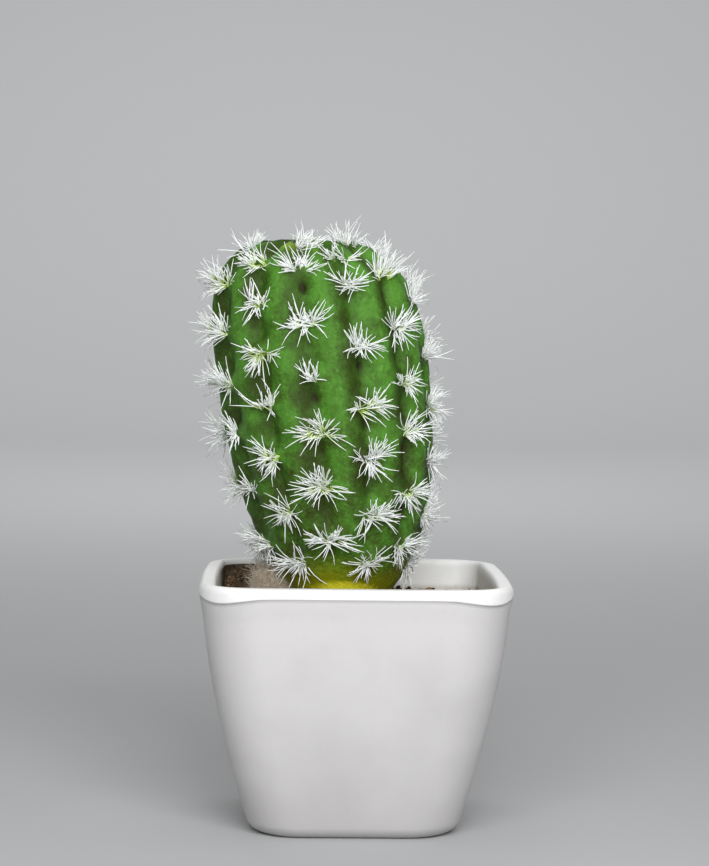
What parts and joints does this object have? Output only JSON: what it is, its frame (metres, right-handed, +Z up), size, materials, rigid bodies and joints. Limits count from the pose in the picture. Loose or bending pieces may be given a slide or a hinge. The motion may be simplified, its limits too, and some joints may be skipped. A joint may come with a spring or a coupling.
{
  "type": "potted cactus",
  "caption": "Leaning ribbed cactus with rows of white spine tufts, planted in soil in a small square white glazed pot with round corners.",
  "frame": {"origin": "centre of the pot's flat base, on the surface it stands on", "axes": "+Z up through the plant, -Y towards the front, +X to the right seen from the front"},
  "size_m": [0.082, 0.08, 0.1558],
  "materials": {
    "white_glaze": "satin",
    "potting_soil": "matte",
    "cactus_skin": "satin",
    "dry_spine": "matte",
    "bark": "matte"
  },
  "bodies": {
    "root": {"pot": "white_glaze", "soil": "potting_soil", "cactus_stem": "cactus_skin", "spine_row_01": "dry_spine", "spine_row_02": "dry_spine", "spine_row_03": "dry_spine", "spine_row_04": "dry_spine", "spine_row_05": "dry_spine", "spine_row_06": "dry_spine", "spine_row_07": "dry_spine", "spine_row_08": "dry_spine", "spine_row_09": "dry_spine", "spine_row_10": "dry_spine", "spine_row_11": "dry_spine", "spine_row_12": "dry_spine", "spine_row_13": "dry_spine", "crown_tuft": "dry_spine", "bark_chip_1": "bark", "bark_chip_2": "bark", "bark_chip_3": "bark", "bark_chip_4": "bark", "bark_chip_5": "bark", "bark_chip_6": "bark"}
  },
  "joints": []
}
